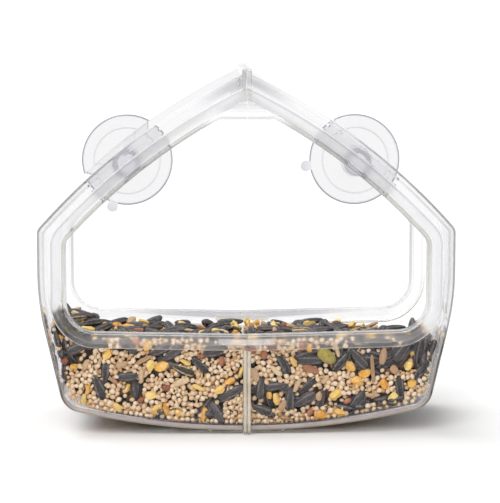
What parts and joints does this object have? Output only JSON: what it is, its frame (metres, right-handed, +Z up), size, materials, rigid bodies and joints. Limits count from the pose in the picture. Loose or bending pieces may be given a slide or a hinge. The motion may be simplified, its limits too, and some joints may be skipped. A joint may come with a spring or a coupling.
{
  "type": "window bird feeder",
  "caption": "Clear house-shaped window bird feeder whose halves join at a central seam, with a seed tray below a through opening and suction cups that swivel behind the roof.",
  "frame": {"origin": "middle of the bounding box, on the surface that the feeder stands on", "axes": "+X along the width, +Y towards the window side with the cups, +Z up"},
  "size_m": [0.165, 0.0814, 0.145],
  "materials": {
    "clear_plastic": "clear, glossy",
    "clear_vinyl": "clear, soft gloss",
    "seed_mix": "dry grain",
    "sunflower": "dry husk",
    "corn": "dry grain"
  },
  "bodies": {
    "left_half": {"left_half": "clear_plastic", "left_seed_bed": "seed_mix", "left_sunflower_seeds": "sunflower", "left_corn_pieces": "corn"},
    "right_half": {"right_half": "clear_plastic", "right_seed_bed": "seed_mix", "right_sunflower_seeds": "sunflower", "right_corn_pieces": "corn"},
    "left_cup": {"left_suction_cup": "clear_vinyl"},
    "right_cup": {"right_suction_cup": "clear_vinyl"}
  },
  "joints": [
    {"name": "halves_part", "type": "slide", "parent": "left_half", "child": "right_half", "axis": [1, 0, 0], "range_m": [0, 0.03]},
    {"name": "left_cup_swivel", "type": "hinge", "parent": "left_half", "child": "left_cup", "pos_m": [-0.0485, 0.0277, 0.10315], "axis": [0, 1, 0], "continuous": true},
    {"name": "right_cup_swivel", "type": "hinge", "parent": "right_half", "child": "right_cup", "pos_m": [0.0485, 0.0277, 0.10315], "axis": [0, 1, 0], "continuous": true}
  ]
}
